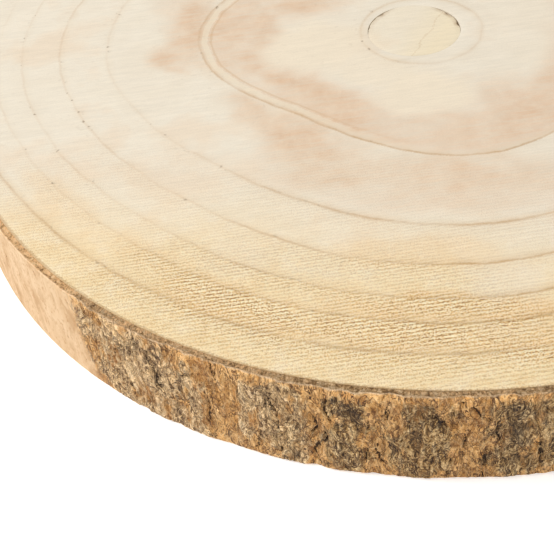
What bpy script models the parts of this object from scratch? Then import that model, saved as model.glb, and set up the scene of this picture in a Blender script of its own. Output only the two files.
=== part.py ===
# A slice sawn across a pale log: the wood disc, the bark round it and the plug in its pith.
# Metres, +Z up. The slice lies flat, with the origin under the middle of its footprint.

import math

import bmesh
import bpy
from mathutils import Vector, noise

# Driving dimensions
SLICE_DIAMETER = 0.300           # over the bark, where the slice is round
THICKNESS = 0.031                # between the two sawn faces
BARK_THICKNESS = 0.0023          # from the wood to the bark's mean outer surface
PLUG_DIAMETER = 0.0292
PITH_PLACE = Vector((-0.0066, 0.0021))   # the pith, measured from the middle of the slice
GAP = 0.0003                     # air between pieces that touch

# The trunk is round towards the front, slightly lobed at the back and swollen at the left
LOBED_SIDE = math.radians(65)    # direction in which the lobes are strongest
LOBES = ((2, 0.012, 0.6), (3, 0.008, 2.1), (5, 0.004, 4.0))   # count, share of radius, phase
SWOLLEN_SIDE = math.radians(155)
SWELLING = 0.04                  # share of radius
SWELLING_HALF_ANGLE = math.radians(30)

# Bark: raised grey plates with orange cork between them, and cracks that run up the trunk
PLATE_WIDTH = 0.020
PLATE_RISE = 0.0009
CRACK_SPACING = 0.012
CRACK_DEPTH = 0.0012
CRACK_SHARE = 0.24               # width of a crack, as a share of their spacing
UP_TRUNK_STRETCH = 0.40          # plates and cracks are longer up the trunk than round it
# direction in degrees, half width in metres, and grey plate (1) or bare cork (-1)
PLATES = (
    (-139, 0.024, -1.2), (-120, 0.011, 1.0), (-113, 0.005, 0.7), (-109.5, 0.004, -0.6),
    (-104, 0.007, 0.9), (-100.5, 0.003, -0.9), (-97.5, 0.004, 0.9), (-94, 0.004, -0.9),
    (-91, 0.005, 0.8), (-86.5, 0.005, -0.8), (-82, 0.006, 1.0), (-77, 0.005, -0.6),
)
BARK_INSET = 0.0002              # the bark's cut edges stand this far inside the sawn faces
ARRIS = 0.0005                   # rounding of the bark's outer edges

# Fineness
BARK_COLUMNS = 330
BARK_ROWS = 11
WOOD_SIDES = 165
PLUG_SIDES = 48

PLUG_EASE = 0.0004               # rounding of the plug's edges
# the whittled flats on the plug, where its joint gapes: direction in degrees, depth in metres
PLUG_FLATS = ((174, 0.0004), (20, 0.0004))
FLAT_HALF_ANGLE = math.radians(34)


def smooth_step(low, high, value):
    share = min(1.0, max(0.0, (value - low) / (high - low)))
    return share * share * (3 - 2 * share)


def turn_between(angle, other):
    """The smaller angle between two directions, in radians."""
    return abs((angle - other + math.pi) % (2 * math.pi) - math.pi)


def trunk_radius(angle):
    """Mean outer radius of the bark in one direction."""
    lobed = ((1 + math.cos(angle - LOBED_SIDE)) / 2) ** 2
    waves = sum(share * math.cos(count * angle + phase) for count, share, phase in LOBES)
    reach = turn_between(angle, SWOLLEN_SIDE) / SWELLING_HALF_ANGLE
    return SLICE_DIAMETER / 2 * (1 + lobed * waves + SWELLING * math.exp(-reach * reach))


def on_trunk(angle, height):
    """A point of the trunk's surface in which the bark's pattern is even up and round it."""
    radius = SLICE_DIAMETER / 2
    return Vector((radius * math.cos(angle), radius * math.sin(angle), height * UP_TRUNK_STRETCH))


def plate_share(angle, height):
    """1 on a grey plate of outer bark, 0 on bare cork."""
    level = noise.noise(on_trunk(angle, height) / PLATE_WIDTH)
    for direction, half_width, strength in PLATES:
        reach = turn_between(angle, math.radians(direction)) * SLICE_DIAMETER / 2 / half_width
        level += strength * math.exp(-reach * reach)
    return smooth_step(-0.12, 0.22, level)


def crack_share(angle, height):
    """1 in the middle of a crack, 0 away from it."""
    place = on_trunk(angle, height) / CRACK_SPACING
    ridge = abs(noise.noise(place + Vector((7.3, 1.9, 4.1))))
    where = smooth_step(-0.25, 0.1, noise.noise(place * 0.45))
    return where * (1 - smooth_step(0.0, CRACK_SHARE, ridge))


def bark_relief(angle, height):
    """How far the bark's surface stands out of the mean one."""
    return PLATE_RISE * (plate_share(angle, height) - 0.4) - CRACK_DEPTH * crack_share(angle, height)


def direction_of(step, steps):
    angle = 2 * math.pi * step / steps
    return angle, Vector((math.cos(angle), math.sin(angle)))


def add_loop(mesh, steps, radius_at, height, centre):
    """A loop of vertices round the slice."""
    loop = []
    for step in range(steps):
        angle, out = direction_of(step, steps)
        place = centre + out * radius_at(angle)
        loop.append(mesh.verts.new((place.x, place.y, height)))
    return loop


def next_in(loop):
    """Each vertex of a closed loop with the one after it."""
    return zip(loop, loop[1:] + loop[:1])


def join_loops(mesh, loops):
    """Joins each loop of vertices to the next one with a band of faces."""
    for low, high in zip(loops, loops[1:]):
        for (a, b), (c, d) in zip(next_in(low), next_in(high)):
            mesh.faces.new((a, b, d, c))


def finish_object(name, mesh, colour, roughness, sharp_angle=35):
    """Makes a smooth-shaded object of a bmesh, with a plain material of its own."""
    bmesh.ops.recalc_face_normals(mesh, faces=mesh.faces)
    data = bpy.data.meshes.new(name)
    mesh.to_mesh(data)
    mesh.free()
    data.shade_smooth()
    data.set_sharp_from_angle(angle=math.radians(sharp_angle))
    material = bpy.data.materials.new(name)
    material.use_nodes = True
    shader = material.node_tree.nodes["Principled BSDF"]
    shader.inputs["Base Color"].default_value = (*colour, 1)
    shader.inputs["Roughness"].default_value = roughness
    shader.inputs["Metallic"].default_value = 0
    data.materials.append(material)
    piece = bpy.data.objects.new(name, data)
    bpy.context.collection.objects.link(piece)
    return piece


def make_bark(middle):
    """The closed ring of bark: its ragged outer surface, cut edges and the side towards the wood."""
    def inner(angle):
        return trunk_radius(angle) - BARK_THICKNESS + GAP

    top = THICKNESS - BARK_INSET
    span = top - BARK_INSET
    mesh = bmesh.new()
    loops = [add_loop(mesh, BARK_COLUMNS, inner, BARK_INSET, middle)]
    for row in range(BARK_ROWS + 1):
        height = BARK_INSET + span * row / BARK_ROWS
        eased = ARRIS if row in (0, BARK_ROWS) else 0

        def outer(angle, height=height, eased=eased):
            return trunk_radius(angle) + bark_relief(angle, height) - eased

        loops.append(add_loop(mesh, BARK_COLUMNS, outer, height, middle))
    loops.append(add_loop(mesh, BARK_COLUMNS, inner, top, middle))
    join_loops(mesh, loops + loops[:1])
    return finish_object("bark", mesh, (0.36, 0.21, 0.10), 0.9)


def make_wood(middle):
    """The sawn disc of wood, with the round hole that the plug fills."""
    def rim(angle):
        return trunk_radius(angle) - BARK_THICKNESS

    def hole(angle):
        return PLUG_DIAMETER / 2 + GAP

    pith = middle + PITH_PLACE
    mesh = bmesh.new()
    rims = [add_loop(mesh, WOOD_SIDES, rim, height, middle) for height in (0, THICKNESS)]
    holes = [add_loop(mesh, PLUG_SIDES, hole, height, pith) for height in (0, THICKNESS)]
    join_loops(mesh, rims)
    join_loops(mesh, holes)
    for ends in zip(rims, holes):
        edges = [mesh.edges.get(pair) for loop in ends for pair in next_in(loop)]
        bmesh.ops.triangle_fill(mesh, use_beauty=True, use_dissolve=False, edges=edges)
    return finish_object("wood_disc", mesh, (0.80, 0.62, 0.42), 0.65)


def make_plug(middle):
    """The plug in the pith, with eased edges and two flats where it is loose in its hole."""
    def radius(angle, eased=0.0):
        cut = 0.0
        for direction, depth in PLUG_FLATS:
            reach = turn_between(angle, math.radians(direction)) / FLAT_HALF_ANGLE
            cut += depth * (1 - smooth_step(0, 1, reach))
        return PLUG_DIAMETER / 2 - cut - eased

    def eased_radius(angle):
        return radius(angle, PLUG_EASE)

    pith = middle + PITH_PLACE
    mesh = bmesh.new()
    loops = [
        add_loop(mesh, PLUG_SIDES, eased_radius, 0, pith),
        add_loop(mesh, PLUG_SIDES, radius, PLUG_EASE, pith),
        add_loop(mesh, PLUG_SIDES, radius, THICKNESS - PLUG_EASE, pith),
        add_loop(mesh, PLUG_SIDES, eased_radius, THICKNESS, pith),
    ]
    join_loops(mesh, loops)
    mesh.faces.new(loops[0])
    mesh.faces.new(loops[-1])
    return finish_object("pith_plug", mesh, (0.84, 0.70, 0.50), 0.6)


def footprint_middle():
    """Where the slice's own middle lies once the origin is centred in the bark's footprint."""
    xs, ys = [], []
    for step in range(BARK_COLUMNS):
        angle, out = direction_of(step, BARK_COLUMNS)
        reliefs = [
            bark_relief(angle, BARK_INSET + (THICKNESS - 2 * BARK_INSET) * row / BARK_ROWS)
            for row in range(1, BARK_ROWS)
        ]
        furthest = out * (trunk_radius(angle) + max(reliefs))
        xs.append(furthest.x)
        ys.append(furthest.y)
    return Vector((-(min(xs) + max(xs)) / 2, -(min(ys) + max(ys)) / 2))


for old in list(bpy.data.objects):
    bpy.data.objects.remove(old)

slice_middle = footprint_middle()
make_wood(slice_middle)
make_bark(slice_middle)
make_plug(slice_middle)
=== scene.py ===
# A slice sawn across a pale log, with its bark on: finish of the wood, the bark and the plug.
# Everything is in metres unless a name ends in Mm. The slice lies flat on z = 0.

import math
from functools import partial

import bmesh
import bpy
import numpy as np
from mathutils import Matrix, Vector, noise


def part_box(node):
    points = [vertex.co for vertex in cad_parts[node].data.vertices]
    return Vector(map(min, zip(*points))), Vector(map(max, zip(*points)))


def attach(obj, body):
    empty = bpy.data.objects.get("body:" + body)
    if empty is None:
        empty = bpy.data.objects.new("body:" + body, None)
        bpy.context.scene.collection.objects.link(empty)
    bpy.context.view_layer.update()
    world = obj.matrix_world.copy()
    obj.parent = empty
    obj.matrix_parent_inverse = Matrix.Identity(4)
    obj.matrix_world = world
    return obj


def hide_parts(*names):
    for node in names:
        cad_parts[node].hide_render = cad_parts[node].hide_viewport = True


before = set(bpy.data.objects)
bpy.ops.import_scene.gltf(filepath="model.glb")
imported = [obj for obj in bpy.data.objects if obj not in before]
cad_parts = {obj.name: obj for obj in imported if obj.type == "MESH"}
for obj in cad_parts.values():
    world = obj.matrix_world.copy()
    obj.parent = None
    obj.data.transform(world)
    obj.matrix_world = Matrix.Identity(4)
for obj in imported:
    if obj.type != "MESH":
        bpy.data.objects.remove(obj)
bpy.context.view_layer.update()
mm = 0.001

# the slice's own outline, as its solids have it; directions are in degrees from +X
trunk = {
    "radius": 0.150,             # over the bark
    "barkThickness": 0.0023,
    "lobedSide": 65,             # the side on which the outline is lobed
    "lobes": ((2, 0.012, 0.6), (3, 0.008, 2.1), (5, 0.004, 4.0)),   # count, share, phase
    "swollenSide": 155,
    "swellingHalfWidth": 30,     # in degrees
    "swelling": 0.04,            # share of the radius
    "pithPlace": Vector((-0.0066, 0.0021)),   # from the middle of the slice
    "thickness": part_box("wood_disc")[1].z,
}
mmPerDegree = math.radians(trunk["radius"] / mm)   # round the slice

# the pith is the centre of the round hole in the wood, and the slice's middle lies beside it
plugLow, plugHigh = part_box("pith_plug")
plugMiddle = ((plugLow + plugHigh) / 2).xy
holePoints = {tuple(v.co.xy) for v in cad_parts["wood_disc"].data.vertices
              if (v.co.xy - plugMiddle).length < plugHigh.x - plugLow.x}
pith = sum((Vector(point) for point in holePoints), Vector((0, 0))) / len(holePoints)
middle = pith - trunk["pithPlace"]
print("frame loaded, pith at", pith, "middle at", middle)


def smoothStep(low, high, value):
    share = np.clip((value - low) / (high - low), 0, 1)
    return share * share * (3 - 2 * share)


def turnFrom(angle, direction):
    # how many degrees each angle lies past a direction, -180 to 180
    return (np.degrees(angle) - direction + 180) % 360 - 180


def bell(angle, direction, halfWidth):
    # 1 in a direction, falling off within a few half widths on both sides
    return np.exp(-(turnFrom(angle, direction) / halfWidth) ** 2)


def lobedShare(angle):
    # 1 on the lobed side, 0 opposite it
    return ((1 + np.cos(angle - math.radians(trunk["lobedSide"]))) / 2) ** 2


def swellingAt(angle):
    return trunk["swelling"] * bell(angle, trunk["swollenSide"], trunk["swellingHalfWidth"])


def trunkRadius(angle):
    waves = sum(share * np.cos(count * angle + phase) for count, share, phase in trunk["lobes"])
    return trunk["radius"] * (1 + lobedShare(angle) * waves + swellingAt(angle))


slopes = np.random.default_rng(3).normal(size=(4096, 3))
slopes /= np.linalg.norm(slopes, axis=1)[:, None]


def softNoise(places, size, seed=0):
    # smooth noise of one feature size at each place, about -0.6 to 0.6
    scaled = places / size + 31.7 * seed
    cell = np.floor(scaled).astype(np.int64)
    inside = scaled - cell
    fade = inside ** 3 * (inside * (inside * 6 - 15) + 10)
    total = np.zeros(len(places))
    for corner in np.ndindex(2, 2, 2):
        x, y, z = (cell + corner).T
        # three large primes scatter the corners of the grid over the slopes
        slope = slopes[(x * 73856093 ^ y * 19349663 ^ z * 83492791) & 4095]
        weight = np.prod(np.where(corner, fade, 1 - fade), axis=1)
        total += weight * ((inside - corner) * slope).sum(axis=1)
    return total


def turnProfile(profile, steps):
    # a closed body round the z axis from a profile of (radius, height) points
    rows = len(profile) - 1
    mesh = bmesh.new()
    bmesh.ops.create_grid(mesh, x_segments=steps, y_segments=rows, size=0.5)
    for vertex in mesh.verts:
        radius, height = profile[round((vertex.co.y + 0.5) * rows)]
        turn = 2 * math.pi * round((vertex.co.x + 0.5) * steps) / steps
        vertex.co = (radius * math.cos(turn), radius * math.sin(turn), height)
    bmesh.ops.remove_doubles(mesh, verts=mesh.verts, dist=1e-6)
    bmesh.ops.recalc_face_normals(mesh, faces=mesh.faces)
    return mesh


def meshPlaces(mesh):
    return np.array([v.co for v in mesh.verts])


def movePlaces(mesh, places):
    for vertex, place in zip(mesh.verts, places):
        vertex.co = place


def makePiece(name, mesh, attributes, material, node):
    # an object of the finished mesh, with a number at each vertex for every named attribute
    data = bpy.data.meshes.new(name)
    mesh.to_mesh(data)
    mesh.free()
    data.shade_smooth()
    data.set_sharp_from_angle(angle=math.radians(50))
    for label, values in attributes.items():
        layer = data.attributes.new(label, "FLOAT", "POINT")
        layer.data.foreach_set("value", np.asarray(values, np.float32))
    data.materials.append(material)
    piece = bpy.data.objects.new(name, data)
    bpy.context.scene.collection.objects.link(piece)
    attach(piece, "root")
    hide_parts(node)
    print(name, "has", sum(len(f.vertices) - 2 for f in data.polygons), "triangles")


# materials

def colour(code):
    # an sRGB hex value as a linear colour
    parts = [int(code[i:i + 2], 16) / 255 for i in (1, 3, 5)]
    return (*[p / 12.92 if p <= 0.04045 else ((p + 0.055) / 1.055) ** 2.4 for p in parts], 1)


def fillInputs(node, inputs):
    # sets a node's inputs; one given as a hex colour is turned linear, and one given as a node is
    # linked to that node's first output
    for key, value in inputs.items():
        if isinstance(key, int):
            socket = node.inputs[key]
        else:
            socket = next(s for s in node.inputs if s.name == key and not s.is_unavailable)
        if isinstance(value, str):
            value = colour(value)
        if isinstance(value, bpy.types.Node):
            value = next(s for s in value.outputs if not s.is_unavailable)
        if isinstance(value, bpy.types.NodeSocket):
            node.id_data.links.new(value, socket)
        else:
            socket.default_value = value


def addNode(tree, kind, inputs=None, stops=None, **settings):
    # adds a node with its settings, its links and the stops of its colour ramp
    node = tree.nodes.new("ShaderNode" + kind)
    for name, value in settings.items():
        setattr(node, name, value)
    if stops:
        ramp = node.color_ramp
        while len(ramp.elements) < len(stops):
            ramp.elements.new(0.5)
        for element, (position, shade) in zip(ramp.elements, stops):
            element.position = position
            element.color = colour(shade) if isinstance(shade, str) else shade
    fillInputs(node, inputs or {})
    return node


def newMaterial(name, roughness, labels=()):
    # a material, its shader, what adds a node to it, and the mesh's attributes by their names
    material = bpy.data.materials.new(name)
    material.use_nodes = True
    shader = material.node_tree.nodes["Principled BSDF"]
    fillInputs(shader, {"Roughness": roughness, "IOR": 1.5})
    add = partial(addNode, material.node_tree)
    given = {label: add("Attribute", attribute_name=label).outputs["Fac"] for label in labels}
    return material, shader, add, given


def layOver(add, base, *layers):
    # colours laid over a base, one after the other, each by its share
    for added, share in layers:
        base = add("Mix", {"Factor": share, "A": base, "B": added}, data_type="RGBA")
    return base


def strayed(add, place, noise, reach):
    # the place moved about by a noise's colours, by up to half the reach each way
    off = add("VectorMath", {0: noise.outputs["Color"], 1: (0.5, 0.5, 0.5)}, operation="SUBTRACT")
    off = add("VectorMath", {0: off, "Scale": reach}, operation="SCALE")
    return add("VectorMath", {0: place, 1: off}, operation="ADD")


# bark

bark = {
    "frontSide": -110,           # in degrees
    "steps": 1480,               # columns round the slice, closest on its front
    "frontShare": 0.4,           # how much closer they are there, and wider at the back
    "rows": 56,                  # rows up the side, 0.55 mm apart
    "topRows": 6,                # across the cut edge
    "inset": 0.0002,             # the cut edges stand this far inside the sawn faces
    "arris": 0.0005,             # rounding of the outer edges
    "innerGap": 0.0003,          # from the bark to the solid disc
    "plateWidth": 0.020,
    "plateRise": 0.0005,
    "crackSpacing": 0.012,
    "crackDepth": 0.0009,
    "crackShare": 0.24,          # width of a crack, as a share of their spacing
    "upTrunkStretch": 0.40,      # plates and cracks are longer up the trunk than round it
    "fibreRise": 0.0006,
    "grainRise": 0.0003,
    "lumpRise": (0.0009, 0.0005),   # on cork and on plates
    "sootDepth": 0.0004,
    "bandSink": 0.0002,          # the soft inner bark lies below its outer edge
    "tornDepth": 0.0009,         # and is torn this deep
    "footNotch": 0.0007,         # notches along the foot
    # direction in degrees, half width, and grey plate (1) or bare cork (-1)
    "plates": (
        (-139, 0.024, -1.2), (-120, 0.011, 1.0), (-113, 0.005, 0.7), (-109.5, 0.004, -0.6),
        (-104, 0.007, 0.9), (-100.5, 0.003, -0.9), (-97.5, 0.004, 0.9), (-94, 0.004, -0.9),
        (-91, 0.005, 0.8), (-86.5, 0.005, -0.8), (-82, 0.006, 1.0), (-77, 0.005, -0.6),
    ),
    # smaller islands of grey or cork: direction in degrees, mm below the top, half width and
    # half height in mm, strength
    "islands": (
        (-124, 17, 4, 4, -0.7), (-121, 23, 3.5, 5, -1.0), (-119.2, 26, 4, 2.5, -1.0),
        (-115.8, 14, 3.5, 10, 0.9), (-109, 11, 1.2, 4, -0.5), (-111.3, 18, 2.5, 8, -0.7),
        (-105.5, 27.5, 4, 2, -1.0), (-106.6, 18, 1.2, 4, -0.6), (-103, 5, 2, 3, -0.6),
        (-107, 8, 3.5, 4, 1.1), (-107.6, 19, 3, 7, 1.1), (-102.5, 14, 2, 10, -0.3),
        (-96, 19, 1.8, 5, -0.7), (-88.6, 25, 2.5, 3, 0.8), (-87.5, 7, 1.8, 3.5, 0.9),
        (-84.8, 24, 1.8, 5, 1.0), (-88.9, 16, 2.5, 4, 0.5), (-81, 16, 2.2, 6, -0.9),
        (-93.3, 19, 2, 4, 0.8), (-110.5, 10, 2, 4, 0.6), (-128.5, 17, 1, 1.5, 0.8),
    ),
    # sooty places, in the same terms
    "sooty": (
        (-97.2, 8, 3.5, 2.5, 1.0), (-98.6, 4, 2, 1.8, 0.8), (-98.6, 13, 2.5, 1.2, 0.6),
        (-82.6, 5, 3.5, 3.5, 0.8), (-82.5, 13, 3.5, 4, 1.0), (-82.2, 20, 3, 4, 0.6),
        (-90.5, 4, 2, 3, 0.8), (-91.5, 8, 2, 2.5, 0.7), (-91, 15, 2.5, 3, 0.6),
        (-124, 8, 2, 2.5, 0.5), (-119.3, 6, 3, 1.2, 0.8), (-116.9, 17, 1.6, 3, 0.7),
        (-113.5, 14, 2, 5, 0.6), (-105.2, 10, 1.2, 6, 0.6), (-102.6, 15, 1.2, 6, 0.7),
        (-103.5, 27, 3, 1.5, 0.8), (-85, 25, 1.3, 3, 0.9), (-87.4, 8, 1.5, 3, 0.6),
        (-93.5, 20, 1.5, 3, 0.8), (-122, 12, 1.6, 3, 0.5), (-114.2, 10, 1.5, 2.5, 0.6),
        (-98, 22, 2.5, 4, 0.6), (-82.5, 26, 3, 3.5, 0.6),
    ),
    # open cracks that show best: width in mm, then points of (direction, mm below the top)
    "openCracks": (
        (0.5, (-110.3, 1), (-110.2, 3.5), (-110, 7)), (0.5, (-107.8, 6), (-107.8, 9.8)),
        (0.4, (-104.9, 8), (-104.2, 14), (-104.05, 18.5), (-103.7, 21.2)),
        (0.8, (-104, 25.5), (-104.4, 30.5)), (0.6, (-103, 2.5), (-102.8, 3.8)),
        (0.9, (-100.9, 10.2), (-100.5, 12.7), (-100.45, 15.2), (-100.8, 17.6)),
        (0.6, (-99.3, 4.5), (-99.25, 8), (-99, 12.3)),
        (1.0, (-99.8, 17.2), (-99.5, 19.3), (-100.2, 22.3), (-100.6, 24), (-100.3, 30.5)),
        (0.7, (-106, 20.5), (-106.3, 24.3), (-106.6, 28)),
        (0.4, (-94.3, 28.7), (-94.5, 23.5), (-95, 18)), (0.4, (-95.7, 21), (-95.9, 26)),
        (0.9, (-94, 4.7), (-93.85, 9.4)), (0.9, (-94.2, 6.8), (-93.7, 9.8)),
        (0.8, (-117.9, 5.5), (-117.75, 10.6), (-117.3, 14.3), (-117.4, 16.8), (-116.6, 19)),
        (0.6, (-120.8, 3.9), (-120.4, 6.8), (-121.9, 10.6), (-122.3, 12.3), (-122.5, 15.2)),
        (0.7, (-119.6, 6), (-119, 4.7), (-118, 5.3)), (0.4, (-126.7, 23), (-126.5, 19.8)),
        (0.6, (-128.9, 14.5), (-128.7, 17.5)), (0.5, (-114.2, 6.8), (-114.1, 9.8), (-113, 8.5)),
        (0.6, (-115, 20.2), (-115.2, 24)), (0.9, (-89.9, 6.5), (-89.2, 8.5), (-88.4, 10.8)),
        (0.6, (-87, 3), (-85.9, 5.2), (-84.9, 8.6)), (0.6, (-88.5, 26.5), (-88.4, 30.5)),
        (0.8, (-86.2, 8.5), (-86.25, 12.3), (-86.7, 15.2), (-86.8, 19)),
        (0.5, (-88.1, 21.5), (-88.1, 24.5)), (0.9, (-85.1, 21.4), (-85.2, 25.2), (-85.3, 29.8)),
        (0.9, (-90.4, 29.5), (-89.8, 29.6)), (0.6, (-80.9, 22), (-80.5, 17.6)),
        (0.5, (-84.1, 9.3), (-83.9, 15.2), (-83.6, 20.2)), (0.6, (-80, 18.5), (-79.7, 30)),
        (0.9, (-120.9, 22), (-120.7, 23.4)), (0.8, (-119.1, 14.2), (-118.9, 15.2)),
        (0.7, (-111.7, 12), (-111.3, 17), (-111.5, 24)),
    ),
    "moreCracks": 95,            # like cracks round the rest of the slice
    "restOfSlice": (-73, 222),   # the directions they have, in degrees
    "placedReach": (28.65, 37.24),   # degrees from the front, past which noise alone sets plates
    # smooth young bark: direction, half width and raggedness of its edge, in degrees
    "youngBark": ((-143, 15.5, 4), (38, 9, 22), (152, 8, 18)),
    "youngLean": 0.08,           # its edges lean by this many degrees a mm
    # direction and half width, in degrees, where the grey plates still reach the top
    "keptTop": (-116.5, 4),
    "bleachedAndLitFrom": -98,         # the plates are bleached, and lit brighter with painted light, to the left of this direction
    # where the cut edge is lighter: direction and half width in degrees, share
    "freshCut": ((-120, 5, 1.5), (-86, 7, 0.75)),
}


def onTrunk(angle, height):
    # points of the trunk's surface, pressed together up the trunk so that patterns stretch there
    r = trunk["radius"]
    return np.stack([r * np.cos(angle), r * np.sin(angle), height * bark["upTrunkStretch"]], 1)


def solidNoise(places, size, shift=(0, 0, 0)):
    # the noise that shapes the solid bark, so that its plates and cracks stay where they are
    shift = Vector(shift)
    return np.array([noise.noise(Vector(place) / size + shift) for place in places])


def islandsAt(angle, below, islands):
    # the strengths of the islands at each place, added up
    total = np.zeros(len(angle))
    for direction, depth, halfWide, halfHigh, strength in islands:
        across = turnFrom(angle, direction) * mmPerDegree / halfWide
        total += strength * np.exp(-across ** 2 - ((below - depth) / halfHigh) ** 2)
    return total


def youngAt(angle, below, where):
    # 1 on smooth young bark, 0 off it
    young = np.zeros(len(angle))
    stray = 0.6 * softNoise(where, 0.005, 9) + 0.6 * softNoise(where, 0.013, 21)
    for direction, halfWidth, ragged in bark["youngBark"]:
        off = np.abs(turnFrom(angle, direction + bark["youngLean"] * (below - 12)))
        off -= ragged * stray
        young = np.maximum(young, 1 - smoothStep(halfWidth - 1.5, halfWidth + 2, off))
    return young


def cracksAt(angle, below, random):
    # 1 in the middle of an open crack, 0 away from all
    paths = list(bark["openCracks"])
    while len(paths) < len(bark["openCracks"]) + bark["moreCracks"]:
        point = (random.uniform(*bark["restOfSlice"]), random.uniform(0, 24))
        path = [random.uniform(0.5, 1.0), point]
        for _ in range(random.integers(2, 5)):
            point = (point[0] + random.uniform(-0.5, 0.5), point[1] + random.uniform(1.5, 5))
            path.append(point)
        paths.append(path)
    share = np.zeros(len(angle))
    for width, *points in paths:
        for i, (start, end) in enumerate(zip(points, points[1:])):
            x, y = turnFrom(angle, start[0]) * mmPerDegree, below - start[1]
            stepX, stepY = (end[0] - start[0]) * mmPerDegree, end[1] - start[1]
            along = np.clip((x * stepX + y * stepY) / (stepX ** 2 + stepY ** 2), 0, 1)
            off = np.hypot(x - stepX * along, y - stepY * along)
            # a crack is widest halfway along
            travelled = (i + along) / (len(points) - 1)
            half = width / 2 * (0.4 + 0.4 * np.sin(math.pi * travelled))
            share = np.maximum(share, 1 - smoothStep(half * 0.4, half * 1.6, off))
    return share


def barkProfile(low, high):
    # up the outer surface, in across the top, down to the foot and out again
    r, rows, across = trunk["radius"], bark["rows"], bark["topRows"]
    wide = trunk["barkThickness"] - bark["innerGap"]
    outer = [(r, low + (high - low) * i / rows) for i in range(rows + 1)]
    top = [(r - wide * i / across, high) for i in range(1, across + 1)]
    foot = [(r - wide * i / 2, low) for i in (2, 1)]
    return outer + top + foot + outer[:1]


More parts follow.
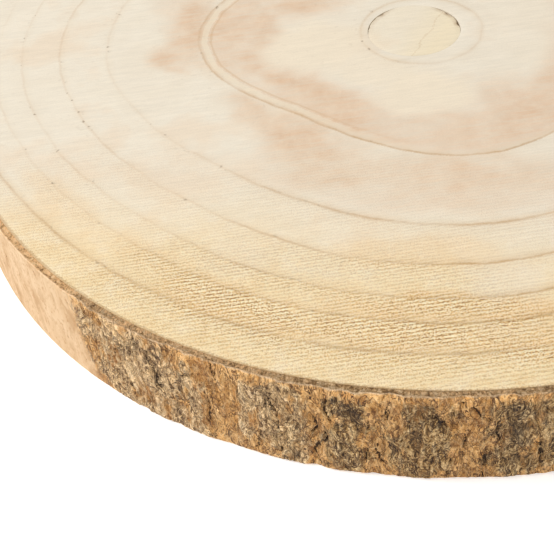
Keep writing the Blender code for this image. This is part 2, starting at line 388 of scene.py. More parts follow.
def makeBark():
    r, t = trunk["radius"], trunk["thickness"]
    low, high = bark["inset"], t - bark["inset"]
    mesh = turnProfile(barkProfile(low, high), bark["steps"])
    places = meshPlaces(mesh)
    angle = np.arctan2(places[:, 1], places[:, 0])
    angle = angle - bark["frontShare"] * np.sin(angle - math.radians(bark["frontSide"]))
    fromFront = np.abs(turnFrom(angle, bark["frontSide"]))
    height = places[:, 2]
    below = (t - height) / mm
    deep = r - np.hypot(places[:, 0], places[:, 1])     # inward from the outer surface
    where = onTrunk(angle, height)

    # the solid's plates and cracks
    level = solidNoise(where, bark["plateWidth"])
    unlisted = 1.8 * level * smoothStep(*bark["placedReach"], fromFront)
    for direction, halfWidth, strength in bark["plates"]:
        level += strength * bell(angle, direction, halfWidth / mm / mmPerDegree)
    coarse = smoothStep(-0.12, 0.22, level)
    ridge = np.abs(solidNoise(where, bark["crackSpacing"], (7.3, 1.9, 4.1)))
    furrow = (smoothStep(-0.25, 0.1, solidNoise(where, bark["crackSpacing"] / 0.45))
              * (1 - smoothStep(0.0, bark["crackShare"], ridge)))

    # the grey outer bark is worn off along the cut edges and in islands
    young = youngAt(angle, below, where)
    worn = (1 - smoothStep(1.8, 4.6, below + 4 * softNoise(where, 0.004, 1))
            + 0.7 * smoothStep(28, 30.5, below + 4 * softNoise(where, 0.003, 1)))
    level += unlisted + islandsAt(angle, below, bark["islands"])
    level -= 1.1 * worn * (1 - 0.8 * bell(angle, *bark["keptTop"]))
    plate = smoothStep(-0.45, 0.65, level + 1.5 * softNoise(where, 0.0036, 2)
                       + 1.0 * softNoise(where, 0.0013, 3)) * (1 - young)
    soot = islandsAt(angle, below, bark["sooty"])
    soot += smoothStep(0.12, 0.42, softNoise(where, 0.0045, 4)) * smoothStep(30, 42, fromFront)
    soot *= 0.35 + 0.65 * plate
    stray = 0.009 * softNoise(where, 0.0022, 5) + 0.006 * softNoise(where, 0.0009, 19)
    cracks = cracksAt(angle + stray, below + 0.8 * softNoise(where, 0.0015, 6),
                      np.random.default_rng(7))
    cracks *= (1 - 0.5 * young) * np.clip(0.9 + 1.3 * softNoise(where, 0.0018, 18), 0, 1)

    # fibres that run up the trunk and curl round each other, grains and lumps everywhere
    bent = where + 0.005 * np.stack([softNoise(where, 0.005, s) for s in (7, 8, 9)], 1)
    bent *= (1, 1, 0.6)
    flakes = np.clip(np.abs(softNoise(bent, 0.0021, 10)) * 4.5, 0, 1)
    flakes = 0.75 * np.sqrt(flakes) + 0.75 * np.clip(softNoise(bent, 0.0011, 11) + 0.25, 0, 1)
    grains = softNoise(where, 0.0009, 12)
    lumps = softNoise(where, 0.0032, 13)
    onCork, onPlate = bark["lumpRise"]
    stand = (bark["plateRise"] * (0.5 * coarse + 0.5 * plate - 0.4) * (1 - young)
             - bark["crackDepth"] * (0.7 * furrow * (1 - young) + 0.9 * cracks)
             + bark["fibreRise"] * (1 - young) * (0.45 + 0.55 * plate) * (flakes - 0.75)
             + bark["grainRise"] * (1 - 0.75 * young) * grains
             + (onCork + (onPlate - onCork) * plate) * (1 - 0.8 * young) * lumps
             - bark["sootDepth"] * soot)
    stand *= 0.45 + 0.55 * smoothStep(low, low + 3 * mm, height)
    eased = bark["arris"] * (np.exp(-((height - low) / (0.35 * mm)) ** 2)
                             + 0.35 * np.exp(-((high - height) / (0.3 * mm)) ** 2))
    radius = trunkRadius(angle) - deep + (stand - eased) * np.exp(-deep / (0.7 * mm))

    # the cut edges: soft inner bark sunk and torn, the outer edge a little ragged
    isTop = (height > high - 1e-6) * 1.0
    isFoot = (height < low + 1e-6) * 1.0
    sunk = smoothStep(0.15 * mm, 0.8 * mm, deep) * (1 - 0.6 * smoothStep(1.5 * mm, 2.0 * mm, deep))
    torn = bark["tornDepth"] * np.abs(softNoise(where, 0.0014, 14))
    height = height - isTop * (sunk * (bark["bandSink"] + torn)
                               + (1 - sunk) * 0.0004 * np.abs(softNoise(where, 0.004, 15)))
    notch = smoothStep(0.22, 0.42, softNoise(where, 0.0042, 16)) + 0.8 * cracks
    height = height + isFoot * (0.0003 * np.abs(softNoise(where, 0.002, 17))
                                + bark["footNotch"] * notch)
    # to the left the plates are bleached and lit brighter with painted light
    toLeft = -turnFrom(angle, bark["bleachedAndLitFrom"])
    bleachedAndLit = smoothStep(0, 12, toLeft + 12 * softNoise(where, 0.012, 20))
    # the cut edge is lighter in a few places, and all along the left with the same painted light
    freshAndLit = bleachedAndLit
    for direction, halfWidth, share in bark["freshCut"]:
        freshAndLit = np.maximum(freshAndLit, share * bell(angle, direction, halfWidth))
    movePlaces(mesh, np.stack([middle.x + radius * np.cos(angle),
                               middle.y + radius * np.sin(angle), height], 1))
    makePiece("bark_skin", mesh, {
        "plate": plate, "crack": cracks + 0.2 * furrow * (1 - young), "flakes": flakes,
        "young": young, "soot": np.clip(soot, 0, 1), "deepMm": deep / mm, "cut": isTop + isFoot,
        "bleachedAndLit": bleachedAndLit, "freshAndLit": freshAndLit,
    }, barkMaterial(), "bark")


# weathered cork bark, torn and dried: dull all over, grey where its outer plates are left, orange
# where cork is bare, and near black in its cracks with painted shade;
# painted shade and highlights lie on its creases, flake lips and flake hollows, a painted highlight
# on its outer arris, and painted light on its left side
def barkMaterial():
    material, shader, add, given = newMaterial("dryCorkBark", 0.9, (
        "plate", "crack", "flakes", "young", "soot", "deepMm", "cut", "bleachedAndLit", "freshAndLit"))
    place = add("TexCoord").outputs["Object"]
    # pressed up the trunk, so that the cork's fibres come out longer there
    grain = add("Mapping", {"Vector": place, "Scale": (1, 1, 0.45)})
    # patches of 5 mm
    broad = add("TexNoise", {"Vector": grain, "Scale": 210, "Detail": 3, "Roughness": 0.6})
    # fibres and flakes 1 mm wide that curl round each other by up to 2 mm, and 0.6 mm grains
    bent = strayed(add, grain, broad, 0.010)
    fibre = add("TexNoise", {"Vector": bent, "Scale": 820, "Detail": 3, "Roughness": 0.62})
    grit = add("TexNoise", {"Vector": grain, "Scale": 1700, "Detail": 1, "Roughness": 0.7})
    grit = add("Math", {0: grit, 1: 0.38}, operation="MULTIPLY")
    mixed = add("Math", {0: fibre, 1: 0.62, 2: grit}, operation="MULTIPLY_ADD")
    # strands 0.8 mm wide and eight times as long, matted into whorls of 7 mm
    whorl = add("TexNoise", {"Vector": place, "Scale": 145, "Detail": 1, "Roughness": 0.5})
    matted = add("Mapping", {"Vector": strayed(add, place, whorl, 0.022), "Scale": (1, 1, 0.12)})
    strands = add("TexNoise", {"Vector": matted, "Scale": 1100, "Detail": 1.5, "Roughness": 0.6})
    # short creases 0.4 mm wide, where bent noise of 3 mm is halfway: painted shade in them and a
    # painted highlight along their frayed edge
    hills = add("TexNoise", {"Vector": bent, "Scale": 350, "Detail": 2, "Roughness": 0.6})
    crease = add("Math", {0: hills, 1: 0.5}, operation="SUBTRACT")
    crease = add("Math", {0: crease}, operation="ABSOLUTE")
    creaseShadeAndHighlight = add("ValToRGB", {"Fac": crease}, stops=[
        (0.0, (0.5, 0.43, 0.35, 1)), (0.012, (0.66, 0.6, 0.54, 1)), (0.025, (1.05, 1.05, 1.05, 1)),
        (0.04, (1.18, 1.17, 1.15, 1)), (0.07, (1.03, 1.03, 1.03, 1))])
    # torn edges of flakes 4 mm wide: painted shade beneath, a painted highlight on the lip, and lost
    # here and there
    sheets = add("TexNoise", {"Vector": bent, "Scale": 260, "Detail": 4, "Roughness": 0.62})
    lipShadeAndHighlight = add("ValToRGB", {"Fac": sheets}, stops=[
        (0.42, (1.05, 1.05, 1.05, 1)), (0.46, (0.85, 0.81, 0.77, 1)), (0.475, (0.2, 0.14, 0.09, 1)),
        (0.495, (0.3, 0.23, 0.16, 1)), (0.515, (1.42, 1.4, 1.35, 1)), (0.55, (1.2, 1.2, 1.17, 1)),
        (0.62, (1.03, 1.03, 1.03, 1))])
    lipShadingLeft = add("MapRange", {
        "Value": broad, "From Min": 0.4, "From Max": 0.5, "To Min": 0.25, "To Max": 0.95})
    lipShadeAndHighlight = layOver(add, "#ffffff", (lipShadeAndHighlight, lipShadingLeft))

    # grey is left in patches 3 mm wide between cork, most of them on the plates
    plateEdge = add("Math", {0: mixed, 1: 2.2, 2: given["plate"]}, operation="MULTIPLY_ADD")
    plateEdge = add("Math", {0: broad, 1: 2.2, 2: plateEdge}, operation="MULTIPLY_ADD")
    plateMask = add("MapRange", {"Value": plateEdge, "From Min": 2.5, "From Max": 3.1})
    # painted shade in the hollows of the flakes and painted highlights on their ridges, laid over
    # cork and plates alike
    flakeShadeAndHighlight = add("ValToRGB", {"Fac": given["flakes"]}, stops=[
        (0.25, "#4a331a"), (0.6, "#8a6839"), (0.85, "#b39263"), (1.2, "#dcc298")])
    cork = add("ValToRGB", {"Fac": broad}, stops=[
        (0.32, "#ad7031"), (0.45, "#cf9652"), (0.58, "#e6b577"), (0.7, "#c98946")])
    corkFine = add("ValToRGB", {"Fac": mixed}, stops=[
        (0.38, "#6b421c"), (0.45, "#b88246"), (0.52, "#daa766"), (0.6, "#f8d29a")])
    cork = layOver(add, cork, (corkFine, 0.45), (flakeShadeAndHighlight, 0.18))
    grey = add("ValToRGB", {"Fac": strands}, stops=[
        (0.38, "#4a351c"), (0.45, "#8a6a3e"), (0.53, "#ad8d5f"), (0.64, "#e0c599")])
    # soot lies on the plates in streaks, thick in the sooty places
    soot = add("Math", {0: strands, 1: -2.5, 2: given["soot"]}, operation="MULTIPLY_ADD")
    soot = add("MapRange", {"Value": soot, "From Min": -1.15, "From Max": -0.4, "To Max": 0.7})
    # the plates are bleached away from the front, and to the left painted light makes them brighter
    # as well
    straw = add("Math", {0: given["bleachedAndLit"], 1: 0.25}, operation="MULTIPLY")
    grey = layOver(add, grey, (flakeShadeAndHighlight, 0.4), ("#3a2916", soot), ("#dcbf95", straw))
    bleachAndLight = layOver(add, (1.02, 0.96, 0.86, 1), ((1.36, 1.34, 1.36, 1), given["bleachedAndLit"]))
    grey = add("VectorMath", {0: grey, 1: bleachAndLight}, operation="MULTIPLY")
    tone = layOver(add, cork, (grey, plateMask))
    # the bark is lightest in its top 3 mm, just below the cut
    height = add("SeparateXYZ", {"Vector": place}).outputs["Z"]
    fringe = add("MapRange", {
        "Value": height, "From Min": 0.0275, "From Max": 0.0305, "To Min": 1.0, "To Max": 1.3})
    for shading in (creaseShadeAndHighlight, lipShadeAndHighlight, fringe):
        tone = add("VectorMath", {0: tone, 1: shading}, operation="MULTIPLY")

    # young bark: smooth and pale, with brown patches and small rusty flecks
    young = add("ValToRGB", {"Fac": broad}, stops=[
        (0.35, "#c39d72"), (0.48, "#d4b289"), (0.66, "#dcbd96")])
    fleck = add("MapRange", {
        "Value": mixed, "From Min": 0.40, "From Max": 0.45, "To Min": 0.5, "To Max": 0.0})
    patch = add("MapRange", {
        "Value": sheets, "From Min": 0.36, "From Max": 0.44, "To Min": 0.45, "To Max": 0.0})
    young = layOver(add, young, ("#b07a45", fleck), ("#b48a5c", patch))
    # the cracks' ragged edges: near black inside, the dark bark there with painted shade over it
    dark = add("Math", {0: mixed, 1: -3.5, 2: given["crack"]}, operation="MULTIPLY_ADD")
    dark = add("MapRange", {"Value": dark, "From Min": -1.2, "From Max": -1.05, "To Max": 0.9})

    # the cut edge: a thin light line outside, partly a painted highlight on the arris, brown fibrous
    # inner bark, darker at the wood
    across = add("Math", {0: given["deepMm"], 1: 2.4}, operation="DIVIDE")
    band = add("ValToRGB", {"Fac": across}, stops=[
        (0.0, "#f6cc9c"), (0.13, "#eabd8a"), (0.2, "#b78a57"), (0.5, "#ad8653"),
        (0.74, "#bd9663"), (0.86, "#9c7747")])
    torn = add("TexNoise", {
        "Vector": place, "Scale": 900, "Detail": 3, "Roughness": 0.7})      # 1 mm shreds
    torn = add("ValToRGB", {"Fac": torn}, stops=[
        (0.4, "#4c2e15"), (0.48, "#b38b58"), (0.58, "#fbdcb0")])
    # the cut edge is lighter in places, and to the left with painted light
    freshAndLit = add("MapRange", {"Value": mixed, "From Min": 0.44, "From Max": 0.54, "To Max": 0.75})
    freshAndLit = add("Math", {0: given["freshAndLit"], 1: freshAndLit}, operation="MULTIPLY")
    # a painted highlight along the rounded outer arris, broken here and there
    arris = add("MapRange", {
        "Value": given["deepMm"], "From Min": 0.05, "From Max": 0.45, "To Min": 0.8, "To Max": 0.0})
    arrisLeft = add("MapRange", {"Value": broad, "From Min": 0.44, "From Max": 0.54})
    arris = add("Math", {0: arris, 1: arrisLeft}, operation="MULTIPLY")
    band = layOver(add, band, (torn, 0.6), ("#eabb86", freshAndLit), ("#fad6aa", arris))
    tone = layOver(add, tone, (young, given["young"]), ("#331b09", dark), (band, given["cut"]))

    # fibres, strands, creases and lips a few tenths of a millimetre high, calmer on young bark
    lift = add("MapRange", {"Value": crease, "From Max": 0.05})
    lift = add("Math", {0: lift, 1: 0.25, 2: mixed}, operation="MULTIPLY_ADD")
    lift = add("Math", {0: strands, 1: 0.7, 2: lift}, operation="MULTIPLY_ADD")
    lipStep = add("MapRange", {"Value": sheets, "From Min": 0.48, "From Max": 0.52, "To Max": 0.25})
    lift = add("Math", {0: lift, 1: lipStep}, operation="ADD")
    calm = add("MapRange", {"Value": given["young"], "To Min": 0.9, "To Max": 0.2})
    bump = add("Bump", {"Height": lift, "Distance": 0.0016, "Strength": calm})
    fillInputs(shader, {"Base Color": tone, "Normal": bump})
    return material


# wood

wood = {
    "steps": 720,                # columns round the pith
    "topRows": 66,               # from the hole to the rim, 2 mm apart
    "footRows": 40,
    "wallRows": 4,
    "edgeRow": 0.0003,           # a row this close to each edge keeps its easing narrow
    "edgeEase": 0.00006,
    "holePlay": 0.00003,         # the plug fits this closely, but for its flats
    "rimPlay": 0.00027,          # the bark is grown on, so only a hairline is left to it
    # growth rings: mean distance from the pith in mm, how dark their line is towards the
    # front and towards the left
    "rings": ((19.2, 0.5, 0.45), (62.7, 1.0, 0.55), (92.3, 0.85, 0.2), (107.2, 0.75, 0.3),
              (119.0, 0.65, 0.18), (127.1, 0.7, 0.15), (137.3, 0.8, 0.9)),
    "falseRing": 58.9,           # a faint line inside the second ring at the left, in mm
    # how the rings bulge, in mm at 100 mm from the pith, and how that grows in 100 mm more:
    # count round the tree, cosine, sine, cosine growth, sine growth
    "bulges": ((1, 1.7, -2.5, -6.4, -1.8), (2, 5.1, 1.0, 0.0, -3.5), (3, -3.8, 3.3, 5.0, 1.1)),
    # stains of the heartwood: place from the slice's middle in mm, half sizes, turn, strength
    "stains": (
        (-55, 4, 6, 14, 8, 0.9), (-46, 18, 12, 7, 10, 0.8), (-55, -14, 7, 9, 30, 0.9),
        (-43, -26, 10, 6, -38, 1.0), (-30, -34, 10, 6, -20, 0.9), (-12, -45, 14, 4, -8, 0.6),
        (24, -36, 12, 9, -25, 0.7), (12, -44, 16, 4, 0, 0.6), (-62, 18, 6, 8, 0, 0.7),
        (-79, 6, 6, 20, 4, 0.95), (-86, 18, 6, 7, 0, 0.4), (-84, -13, 6, 5, -20, 0.85),
        (-80, -19, 6, 2.5, -25, 0.6), (-53, -41, 10, 4, -42, 0.8), (-40, -53, 9, 7, -20, 1.0),
        (-34, -60, 12, 7, 0, 0.8), (-42, -77, 10, 4, 0, 0.4), (-28, -70, 16, 7, 0, 0.65),
        (10, -71, 32, 8, 0, 0.65), (4, -80, 28, 6, 0, 0.45),
        (-20, 48, 24, 9, 10, 0.75), (25, 42, 16, 12, -20, 0.6), (46, 8, 9, 22, 0, 0.6),
        (62, -22, 8, 16, 15, 0.6), (52, 44, 14, 11, 30, 0.7), (-8, 70, 24, 7, 0, 0.5),
        (-62, 46, 12, 13, 30, 0.6),
    ),
    "stainBand": (37, 46, 60, 63),   # a fainter stain fills the second ring between these, in mm
    "heartwoodEnd": (86, 96),    # the stains stop at the third ring, in mm
    "lineHalfWidth": 0.55,       # of a ring's brown line, in mm
    "lateWidth": 2.5,            # of the darker late wood before it, at most
    "ringStray": 1.0,            # what clouds and grain add to a ring's place, in mm
    "ringReach": 160,            # where the colour ramp of the rings ends, in mm
    # paler wood, in the same terms
    "pales": (
        (-37, -7, 15, 13.5, 0, 1.0), (-3, -31, 12.5, 10, 8, 1.0), (-18, -20, 12, 7, -30, 0.8),
        (30, 10, 14, 24, 0, 0.25), (18, -115, 9, 11, 0, 0.6), (-52, -105, 9, 6, 0, 0.4),
        (14, 34, 12, 9, 0, 0.7), (36, -12, 9, 9, 0, 0.3), (-30, 72, 10, 9, 0, 0.5),
    ),
    # tan wood towards the front, in the same terms
    "tans": (
        (-46, -123, 22, 5, -22, 1.0), (-14, -131, 26, 4, -4, 0.9), (4, -122, 26, 4, 0, 0.9),
        (24, -132, 14, 4, 4, 0.8), (-4, -102, 18, 5, 0, 0.3), (-70, -106, 14, 4, -35, 0.2),
        (70, -110, 30, 8, 32, 0.7), (-102, -82, 18, 4, -46, 0.2),
    ),
    "sawTurn": 13,               # direction of the saw's lines, in degrees
    "backSide": 50,              # where the back's sapwood is yellow and torn, in degrees
}


def ringPlace(x, y):
    # distance from the pith in mm along the rings, which bulge with the tree
    r = np.hypot(x, y)
    angle = np.arctan2(y, x)
    grow = r / 100 - 1
    bulge = 0
    for count, c, s, cGrow, sGrow in wood["bulges"]:
        bulge = bulge + (c + cGrow * grow) * np.cos(count * angle)
        bulge = bulge + (s + sGrow * grow) * np.sin(count * angle)
    bulge = bulge * (1 - 0.6 * lobedShare(angle))
    bulge = bulge + swellingAt(angle) * trunk["radius"] / mm * (r / 150) ** 6
    # the first ring is round, and its middle lies beside the pith
    outside = smoothStep(22, 55, r)
    return r - bulge * outside - 2.2 * np.cos(angle) * (1 - outside)


def patches(x, y, rows, full=0.7, end=1.5):
    # soft patches, 0 to 1, that fade between these shares of their half sizes
    total = np.zeros(len(x))
    for px, py, halfX, halfY, turn, strength in rows:
        c, s = math.cos(math.radians(turn)), math.sin(math.radians(turn))
        u = ((x - px) * c + (y - py) * s) / halfX
        v = (-(x - px) * s + (y - py) * c) / halfY
        total = np.maximum(total, strength * (1 - smoothStep(full, end, np.hypot(u, v))))
    return total


def rimFromPith(angle):
    # distance from the pith to the wood's edge in each direction, found by closing in on it
    distance = np.full(len(angle), trunk["radius"])
    offX, offY = trunk["pithPlace"]
    for _ in range(8):
        x = offX + distance * np.cos(angle)
        y = offY + distance * np.sin(angle)
        wanted = trunkRadius(np.arctan2(y, x)) - trunk["barkThickness"] + wood["rimPlay"]
        distance = distance + wanted - np.hypot(x, y)
    return distance


def woodProfile(inner, outer):
    # in along the foot, up the hole, out across the top and down the rim
    t, wallRows = trunk["thickness"], wood["wallRows"]
    edge, ease = wood["edgeRow"], wood["edgeEase"]

    def face(height, drop, rows):
        inside = [(inner + edge + (outer - inner - 2 * edge) * i / rows, height)
                  for i in range(rows + 1)]
        return [(inner, height - drop)] + inside + [(outer, height - drop)]

    def wall(radius, low, high):
        return [(radius, low + (high - low) * i / wallRows) for i in range(1, wallRows)]

    profile = face(0, -ease, wood["footRows"])[::-1]
    profile += wall(inner, ease, t - ease)
    profile += face(t, ease, wood["topRows"])
    profile += wall(outer, t - ease, ease)
    return profile + profile[:1]


def makeWood():
    inner, outer = plug["radius"] + wood["holePlay"], trunk["radius"] - trunk["barkThickness"]
    mesh = turnProfile(woodProfile(inner, outer), wood["steps"])
    places = meshPlaces(mesh)
    angle = np.arctan2(places[:, 1], places[:, 0])
    share = (np.hypot(places[:, 0], places[:, 1]) - inner) / (outer - inner)
    radius = inner + share * (rimFromPith(angle) - inner)
    x, y = radius * np.cos(angle), radius * np.sin(angle)
    where = np.stack([x, y, places[:, 2]], 1)
    movePlaces(mesh, np.stack([pith.x + x, pith.y + y, places[:, 2]], 1))

    # how dark the nearest ring's line is, here and there fainter
    ring = ringPlace(x / mm, y / mm) + 0.8 * softNoise(where, 0.022, 2)
    ring += 0.5 * softNoise(where, 0.007, 12)
    toLeft = smoothStep(-0.2, 0.9, -np.cos(angle))
    ringDark = np.zeros(len(angle))
    for at, front, left in wood["rings"]:
        close = np.abs(ring - at) < 4
        ringDark[close] = (front + (left - front) * toLeft)[close]
    ringDark *= 0.8 + 0.9 * softNoise(where, 0.018, 4)

    # patches are placed from the slice's middle, and stray by a few millimetres
    offX, offY = trunk["pithPlace"]
    atX = (x + offX) / mm + 5 * softNoise(where, 0.011, 5) + 2 * softNoise(where, 0.004, 6)
    atY = (y + offY) / mm + 5 * softNoise(where, 0.011, 7) + 2 * softNoise(where, 0.004, 8)
    pale = patches(atX, atY, wood["pales"])
    start, full, thin, end = wood["stainBand"]
    stain = (0.6 + 0.9 * softNoise(where, 0.03, 9)) * smoothStep(start, full, ring)
    stain *= 1 - smoothStep(thin, end, ring)
    stain = np.maximum(stain, patches(atX, atY, wood["stains"], 0.2, 1.9)) * (1 - 0.9 * pale)
    stain *= 1 - smoothStep(*wood["heartwoodEnd"], ring)
    # the sapwood is yellower and torn more by the saw at the front, and in places at the back
    toFront = -(y + offY) / mm - 0.1 * (x + offX) / mm
    strayFront = toFront + 22 * softNoise(where, 0.03, 3)
    sawn = 0.04 + 0.26 * smoothStep(50, 95, strayFront) + 0.7 * smoothStep(100, 130, strayFront)
    yellow = smoothStep(76, 132, toFront + 12 * softNoise(where, 0.04, 10))
    backWood = smoothStep(-0.1, 0.6, np.cos(angle - math.radians(wood["backSide"])))
    backWood *= smoothStep(70, 125, ring) * np.clip(0.6 + 1.6 * softNoise(where, 0.04, 11), 0, 1)
    makePiece("wood_face", mesh, {
        "ringMm": ring, "ringDark": ringDark, "stain": stain,
        "pale": pale, "tan": patches(atX, atY, wood["tans"]),
        "sawn": np.maximum(sawn, 0.6 * backWood), "yellow": np.maximum(yellow, 0.8 * backWood),
        "left": toLeft, "fromRimMm": (1 - share) * (outer - inner) / mm - 0.5 * toLeft,
    }, woodMaterial("sawnPaleWood"), "wood_disc")


def ringStops():
    # rings as colours along their distance from the pith: red holds a ring's line, green the
    # late wood before it and blue the early wood after it
    reachMm, half = wood["ringReach"], wood["lineHalfWidth"]
    stops = [(0, (0, 0, 0, 1))]
    for at, *_ in wood["rings"]:
        at += wood["ringStray"]
        late = min(wood["lateWidth"], 0.35 * (at - stops[-1][0] * reachMm))
        stops += [((at - late) / reachMm, (0, 0, 0, 1)),
                  ((at - half) / reachMm, (0.15, 1, 0, 1)),
                  (at / reachMm, (1, 1, 0.4, 1)),
                  ((at + half) / reachMm, (0.1, 0, 1, 1))]
    stops.append(((at + 9) / reachMm, (0, 0, 0, 1)))
    return stops


# pale wood, sawn across and left unplaned: soft and dull, with fuzzy saw lines that carry painted
# shade and painted highlights, fine pores in the early wood outside each ring, and the rings
# themselves as thin brown lines
def woodMaterial(name, ringed=True):
    labels = ("ringMm", "ringDark", "stain", "pale", "tan", "sawn", "yellow", "left", "fromRimMm")
    material, shader, add, given = newMaterial(
        name, 0.62, labels if ringed else ("acrossMm", "joint"))
    place = add("TexCoord").outputs["Object"]
    inMm = add("Mapping", {"Vector": place, "Scale": (1000, 1000, 1000)})
    turned = add("Mapping", {"Vector": inMm, "Rotation": (0, 0, -math.radians(wood["sawTurn"]))})
    # clouds of 22 mm and of 6 mm, and fuzz of 0.5 mm
    mottle = add("TexNoise", {"Vector": inMm, "Scale": 0.045, "Detail": 4, "Roughness": 0.55})
    cloud = add("TexNoise", {"Vector": inMm, "Scale": 0.16, "Detail": 5, "Roughness": 0.6})
    grain = add("TexNoise", {"Vector": inMm, "Scale": 1.9, "Detail": 2, "Roughness": 0.6})
    # the saw has brushed the fuzz into streaks 8 mm long and 1 mm wide
    brushed = add("Mapping", {"Vector": turned, "Scale": (0.12, 0.9, 0.5)})
    brushed = add("TexNoise", {"Vector": brushed, "Scale": 1.0, "Detail": 2, "Roughness": 0.65})

    # saw lines 1.2 mm apart, broken into dashes about 1 mm long, with torn pores of 0.3 mm
    dashes = add("Mapping", {"Vector": turned, "Scale": (0.9, 1.7, 0.6)})
    dashes = add("TexNoise", {"Vector": dashes, "Scale": 1.0, "Detail": 1, "Roughness": 0.6})
    lines = add("TexWave", {
        "Vector": turned, "Scale": 0.262, "Distortion": 1.6, "Detail": 2, "Detail Scale": 1.2},
        wave_type="BANDS", bands_direction="Y", wave_profile="SIN")
    lines = add("Math", {0: lines, 1: 0.26}, operation="MULTIPLY")
    pores = add("TexNoise", {"Vector": inMm, "Scale": 3.0, "Detail": 0})
    saw = add("Math", {0: dashes, 1: 0.5, 2: lines}, operation="MULTIPLY_ADD")
    saw = add("Math", {0: pores, 1: 1.1, 2: saw}, operation="MULTIPLY_ADD")

    rough = 0.1
    base = add("ValToRGB", {"Fac": mottle}, stops=[
        (0.35, "#ece0cb"), (0.5, "#efe4d0"), (0.65, "#eddcc4")])
    if ringed:
        yellow = add("ValToRGB", {"Fac": cloud}, stops=[
            (0.35, "#f5d49a"), (0.5, "#fbdfaa"), (0.66, "#fee8bf")])
        yellowShare = add("Math", {0: given["yellow"], 1: 0.9}, operation="MULTIPLY")
        stain = add("ValToRGB", {"Fac": cloud}, stops=[
            (0.35, "#dbb896"), (0.5, "#e0c0a0"), (0.66, "#e6caac")])
        streaks = add("MapRange", {
            "Value": brushed, "From Min": 0.3, "From Max": 0.7, "To Min": 0.6, "To Max": 1.2})
        stainShare = add("Math", {0: given["stain"], 1: streaks},
                         operation="MULTIPLY", use_clamp=True)
        tanShare = add("Math", {0: given["tan"], 1: 0.9}, operation="MULTIPLY")
        base = layOver(add, base, (yellow, yellowShare), ("#f1e2c9", given["pale"]),
                       (stain, stainShare), ("#ecbf82", tanShare))

        # the late wood of each ring
        strayRing = add("Math", {0: grain, 1: 0.8, 2: given["ringMm"]}, operation="MULTIPLY_ADD")
        strayRing = add("Math", {0: cloud, 1: 1.2, 2: strayRing}, operation="MULTIPLY_ADD")
        rings = add("Math", {0: strayRing, 1: wood["ringReach"]}, operation="DIVIDE")
        rings = add("ValToRGB", {"Fac": rings}, stops=ringStops())
        rings = add("SeparateColor", {"Color": rings}).outputs
        broken = add("MapRange", {"Value": cloud, "From Min": 0.3, "From Max": 0.6, "To Min": 0.5})
        dark = add("Math", {0: given["ringDark"], 1: broken}, operation="MULTIPLY")
        line = add("Math", {0: rings["Red"], 1: dark}, operation="MULTIPLY")
        late = add("Math", {0: rings["Green"], 1: dark}, operation="MULTIPLY")
        late = add("Math", {0: late, 1: 0.32}, operation="MULTIPLY")
        base = layOver(add, base, ("#d8b482", late))

        # inside the second ring at the left lie a false ring and a pale band beyond it
        falseRing = wood["falseRing"] + wood["ringStray"]
        for at, width, shade, share in ((falseRing + 1.9, 1.9, "#f1e4ca", 0.5),
                                        (falseRing, 0.7, "#c79e66", 0.28)):
            near = add("Math", {0: strayRing, 1: at, 2: width / 2}, operation="COMPARE")
            left = add("Math", {0: given["left"], 1: share}, operation="MULTIPLY")
            near = add("Math", {0: near, 1: left}, operation="MULTIPLY")
            base = layOver(add, base, (shade, near))

        # the early wood outside each ring tears most under the saw
        rough = add("MapRange", {"Value": rings["Blue"], "To Min": 0.6, "To Max": 1.35})
        rough = add("Math", {0: given["tan"], 1: 0.9, 2: rough}, operation="MULTIPLY_ADD")
        rough = add("Math", {0: rough, 1: given["sawn"]}, operation="MULTIPLY")

    # painted shade in the valleys of the saw lines and torn pores, and painted highlights on their
    # fuzz
    sawShadeAndHighlight = add("ValToRGB", {"Fac": saw}, stops=[
        (0.66, "#96622b"), (0.8, "#dcad6d"), (0.92, "#f4d296"), (1.04, "#fde3b0"),
        (1.17, "#fff3d2")])
    sawShadingShare = add("Math", {0: rough, 1: 0.52}, operation="MULTIPLY", use_clamp=True)
    base = layOver(add, base, (sawShadeAndHighlight, sawShadingShare))
    if ringed:
        # small dark knots of pith fleck, here and there on a ring
        fleck = add("TexNoise", {"Vector": inMm, "Scale": 0.6, "Detail": 0})
        fleck = add("MapRange", {"Value": fleck, "From Min": 0.73, "From Max": 0.79})
        fleck = add("Math", {0: fleck, 1: given["left"]}, operation="MULTIPLY")
        fleck = add("Math", {0: fleck, 1: rings["Red"]}, operation="MULTIPLY")
        # the last of the wood is stained by the bark
        rim = add("Math", {0: grain, 1: 1.6, 2: given["fromRimMm"]}, operation="MULTIPLY_ADD")
        rim = add("MapRange", {
            "Value": rim, "From Min": 0.8, "From Max": 1.2, "To Min": 0.55, "To Max": 0})
        base = layOver(add, base, ("#b98a4c", line), ("#9b866c", fleck), ("#b88f5b", rim))
    else:
        # one crack along the grain, with yellower wood on its right
        right = add("MapRange", {
            "Value": given["acrossMm"], "From Min": -8, "From Max": 4, "To Min": 0.2, "To Max": 0.7})
        crack = add("Math", {0: cloud, 1: 5.0, 2: given["acrossMm"]}, operation="MULTIPLY_ADD")
        crack = add("Math", {0: grain, 1: crack}, operation="ADD")
        crack = add("Math", {0: crack, 1: 3.0, 2: 0.25}, operation="COMPARE")
        crack = add("Math", {0: crack, 1: 0.2}, operation="MULTIPLY")
        # its edge is darkened brown with painted shade where the joint gapes
        jointShade = add("Math", {0: given["joint"], 1: 0.6}, operation="MULTIPLY", use_clamp=True)
        base = layOver(add, base, ("#f1dfba", right), ("#c29c68", crack), ("#a37c4e", jointShade))
    fuzz = add("Math", {0: brushed, 1: 1.3, 2: grain}, operation="MULTIPLY_ADD")
    shade = add("MapRange", {
        "Value": fuzz, "From Min": 0.8, "From Max": 1.5, "To Min": 0.945, "To Max": 1.045})
    base = add("VectorMath", {0: base, 1: shade}, operation="MULTIPLY")

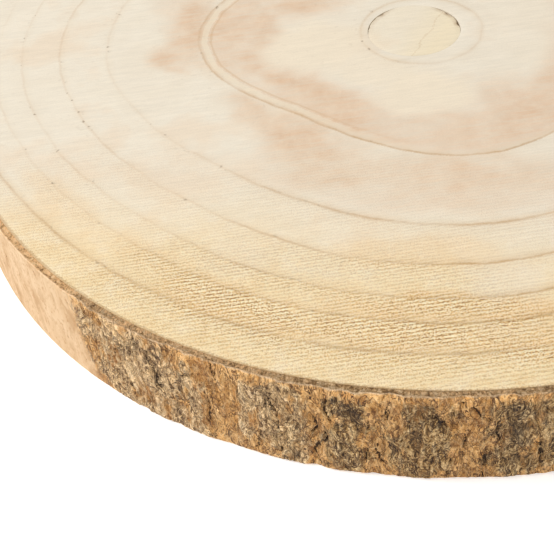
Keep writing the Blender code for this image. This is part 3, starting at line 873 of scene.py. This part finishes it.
    lift = add("Math", {0: saw, 1: given["sawn"] if ringed else 0.1}, operation="MULTIPLY")
    bump = add("Bump", {"Height": lift, "Distance": 0.0004, "Strength": 0.6})
    fillInputs(shader, {"Base Color": base, "Normal": bump})
    return material


# plug

plug = {
    "radius": 0.0146,
    "steps": 360,                # columns round the pith
    "faceRows": 8,
    "wallRows": 4,
    "edgeRow": 0.0003,           # a row this close to the edge keeps its easing narrow
    "ease": 0.00006,
    "flats": ((152, 0.0008), (32, 0.0009)),   # direction in degrees, depth
    "flatHalfWidth": 40,         # in degrees
    "jointShadeDepth": 0.0008,       # a flat this deep gets the full painted shade
    "grainLine": (Vector((-6, -10)), Vector((3, 14))),   # in mm from the slice's middle
}


def makePlug():
    t = trunk["thickness"]
    rows, r, ease = plug["faceRows"], plug["radius"], plug["ease"]
    face = [(r - plug["edgeRow"]) * i / rows for i in range(rows + 1)]
    profile = [(radius, 0) for radius in face]
    profile += [(r, ease + (t - 2 * ease) * i / plug["wallRows"])
                for i in range(plug["wallRows"] + 1)]
    profile += [(radius, t) for radius in face[::-1]]
    mesh = turnProfile(profile, plug["steps"])
    places = meshPlaces(mesh)
    angle = np.arctan2(places[:, 1], places[:, 0])
    radius = np.hypot(places[:, 0], places[:, 1])
    cut = np.zeros(len(angle))
    for direction, depth in plug["flats"]:
        reach = np.abs(turnFrom(angle, direction)) / plug["flatHalfWidth"]
        cut += depth * (1 - smoothStep(0.3, 1, reach))
    cut *= np.clip(0.7 + 1.2 * softNoise(places, 0.0022, 1), 0.2, 1)
    cut *= smoothStep(0.9 * r, r - plug["edgeRow"], radius)     # at the plug's edge alone
    radius -= cut
    movePlaces(mesh, np.stack([pith.x + radius * np.cos(angle), pith.y + radius * np.sin(angle),
                               places[:, 2]], 1))
    # distance across the crack in its face
    start, end = plug["grainLine"]
    along = (end - start).normalized()
    across = (meshPlaces(mesh)[:, :2] - np.array(middle)) / mm - np.array(start)
    across = across[:, 0] * along.y - across[:, 1] * along.x
    makePiece("plug_face", mesh, {"acrossMm": across, "joint": cut / plug["jointShadeDepth"]},
              woodMaterial("sawnPlugWood", ringed=False), "pith_plug")


makeBark()
makeWood()
makePlug()

# studio

studio = {
    "floorSize": 24.0,           # its edge stays out of low views
    "sky": 0.63,                 # strength of the even white light all round
    "floorGlow": 0.42,
    # place, energy in watts, size
    "keyLight": (Vector((-1.7, -0.2, 1.45)), 27, 0.8),
    "fillLight": (Vector((0.5, -1.7, 1.2)), 3, 1.4),
}


# a plain dull floor that glows faintly, so that it stays near white round the slice
def makeFloor():
    mesh = bmesh.new()
    bmesh.ops.create_grid(mesh, x_segments=1, y_segments=1, size=studio["floorSize"] / 2)
    data = bpy.data.meshes.new("floor")
    mesh.to_mesh(data)
    mesh.free()
    material, shader, *_ = newMaterial("paleFloor", 0.8)
    fillInputs(shader, {"Base Color": "#f7f7f7", "Emission Color": "#ffffff",
                        "Emission Strength": studio["floorGlow"]})
    data.materials.append(material)
    floor = bpy.data.objects.new("floor", data)
    bpy.context.scene.collection.objects.link(floor)


def addLight(name, place, energy, size):
    # a square lamp that shines at the slice
    lamp = bpy.data.lights.new(name, "AREA")
    lamp.energy = energy
    lamp.size = size
    light = bpy.data.objects.new(name, lamp)
    light.location = place
    light.rotation_euler = (-place).to_track_quat("-Z", "Y").to_euler()
    bpy.context.scene.collection.objects.link(light)


makeFloor()
addLight("keyLight", *studio["keyLight"])
addLight("fillLight", *studio["fillLight"])
world = bpy.data.worlds.new("studioSky")
world.use_nodes = True
fillInputs(world.node_tree.nodes["Background"], {"Color": "#ffffff", "Strength": studio["sky"]})
bpy.context.scene.world = world
bpy.context.scene.view_settings.view_transform = "Standard"

# camera, close over the front of the slice and looking down to the left; angles in degrees
view = {
    "offAxis": Vector((0, -0.32895)),   # from the slice's middle
    "aboveFace": 0.2100,
    "down": 43.55,
    "left": 10.15,
    "tilt": -6.34,
    "lens": 78.2,                # in mm
    "sensor": 36,
}
lens = bpy.data.cameras.new("camera")
lens.sensor_width = view["sensor"]
lens.lens = view["lens"]
camera = bpy.data.objects.new("camera", lens)
turn = (Matrix.Rotation(math.radians(view["left"]), 4, "Z")
        @ Matrix.Rotation(math.radians(90 - view["down"]), 4, "X")
        @ Matrix.Rotation(math.radians(view["tilt"]), 4, "Z"))
spot = Vector((*(middle + view["offAxis"]), trunk["thickness"] + view["aboveFace"]))
camera.matrix_world = Matrix.Translation(spot) @ turn
bpy.context.scene.collection.objects.link(camera)
bpy.context.scene.camera = camera
print("studio and camera set")
